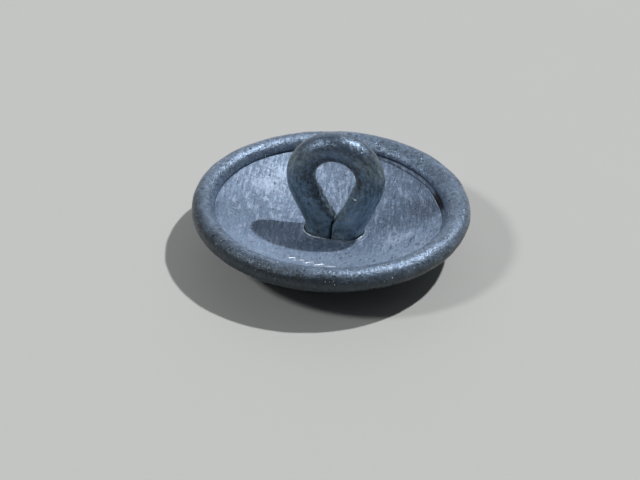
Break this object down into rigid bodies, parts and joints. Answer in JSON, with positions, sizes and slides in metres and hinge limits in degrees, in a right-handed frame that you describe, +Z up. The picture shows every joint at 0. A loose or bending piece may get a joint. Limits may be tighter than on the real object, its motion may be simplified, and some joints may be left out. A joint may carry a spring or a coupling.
{
  "type": "sew on button",
  "caption": "Round metal shank button with a smooth rolled rim, a dished back plate and a heavy pinched wire eye to sew it on by; the plain domed face is hidden in wear from behind.",
  "frame": {"origin": "the middle of the face, where the button rests when it lies face down", "axes": "+Z up along the button's axis, from the face to the wire eye; +X to the right along the eye's width, which is turned 10.8 degrees clockwise from it; +Y away from a viewer who looks through the eye"},
  "size_m": [0.023, 0.023, 0.0104],
  "materials": {
    "shell_metal": "dull white metal, worn smooth on the rim",
    "plate_metal": "dull white metal with straight brushed scratches and small pits",
    "eye_wire": "dark drawn wire with a few rubbed bright spots",
    "solder": "dull grey solder",
    "card": "plain brown card"
  },
  "bodies": {
    "root": {"front_shell": "shell_metal", "back_plate": "plate_metal", "wire_eye": "eye_wire", "solder_fillet": "solder", "filler_card": "card"}
  },
  "joints": []
}
